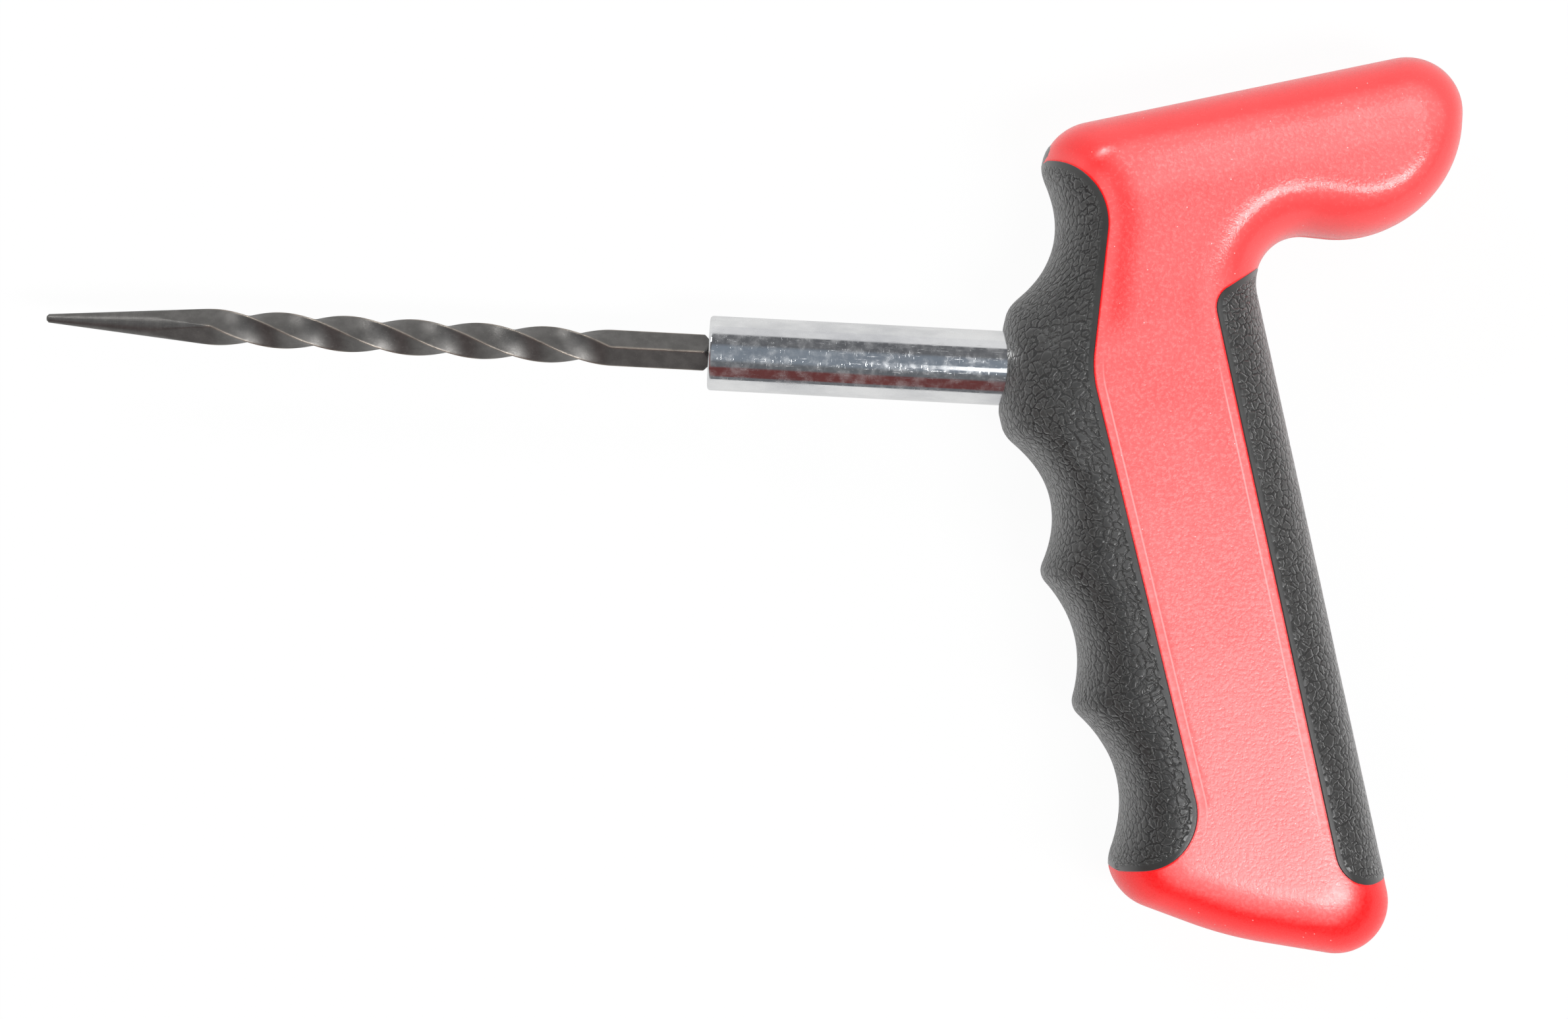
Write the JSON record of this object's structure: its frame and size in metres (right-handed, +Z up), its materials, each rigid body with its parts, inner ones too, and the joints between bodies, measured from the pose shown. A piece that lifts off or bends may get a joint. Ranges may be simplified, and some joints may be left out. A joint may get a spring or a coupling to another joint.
{
  "type": "tire repair probe",
  "caption": "Pistol-grip tire repair probe: a twisted square steel bar with a tapered point, clamped in a chromed sleeve in a two-part red handle with black rubber grips.",
  "frame": {"origin": "on the flat right side of the handle, which the tool lies on, under the shaft's axis in the middle of the grip", "axes": "+X along the shaft from the probe's point to the handle, +Y across the grip towards the horn, +Z up through the handle's thickness, from the right side to the left side"},
  "size_m": [0.2124, 0.1358, 0.0285],
  "materials": {
    "red_plastic": "fine spark-eroded mould texture",
    "black_rubber": "leather-like grain",
    "chromed_steel": "polished, with fine scratches",
    "pin_steel": "ground",
    "screw_steel": "black oxide",
    "probe_steel": "dark oxide, bright on the worn edges"
  },
  "bodies": {
    "handle": {"left_handle_shell": "red_plastic", "right_handle_shell": "red_plastic", "front_grip": "black_rubber", "rear_grip": "black_rubber", "chuck_sleeve": "chromed_steel", "cross_pin": "pin_steel"},
    "probe": {"probe": "probe_steel"},
    "set_screw": {"set_screw": "screw_steel"}
  },
  "joints": [
    {"name": "probe_slide", "type": "slide", "parent": "handle", "child": "probe", "axis": [-1, 0, 0], "range_m": [0, 0.0218]},
    {"name": "set_screw_turn", "type": "hinge", "parent": "handle", "child": "set_screw", "pos_m": [-0.0605, 0, 0.0086], "axis": [0, 0, -1], "range_deg": [0, 720]}
  ]
}
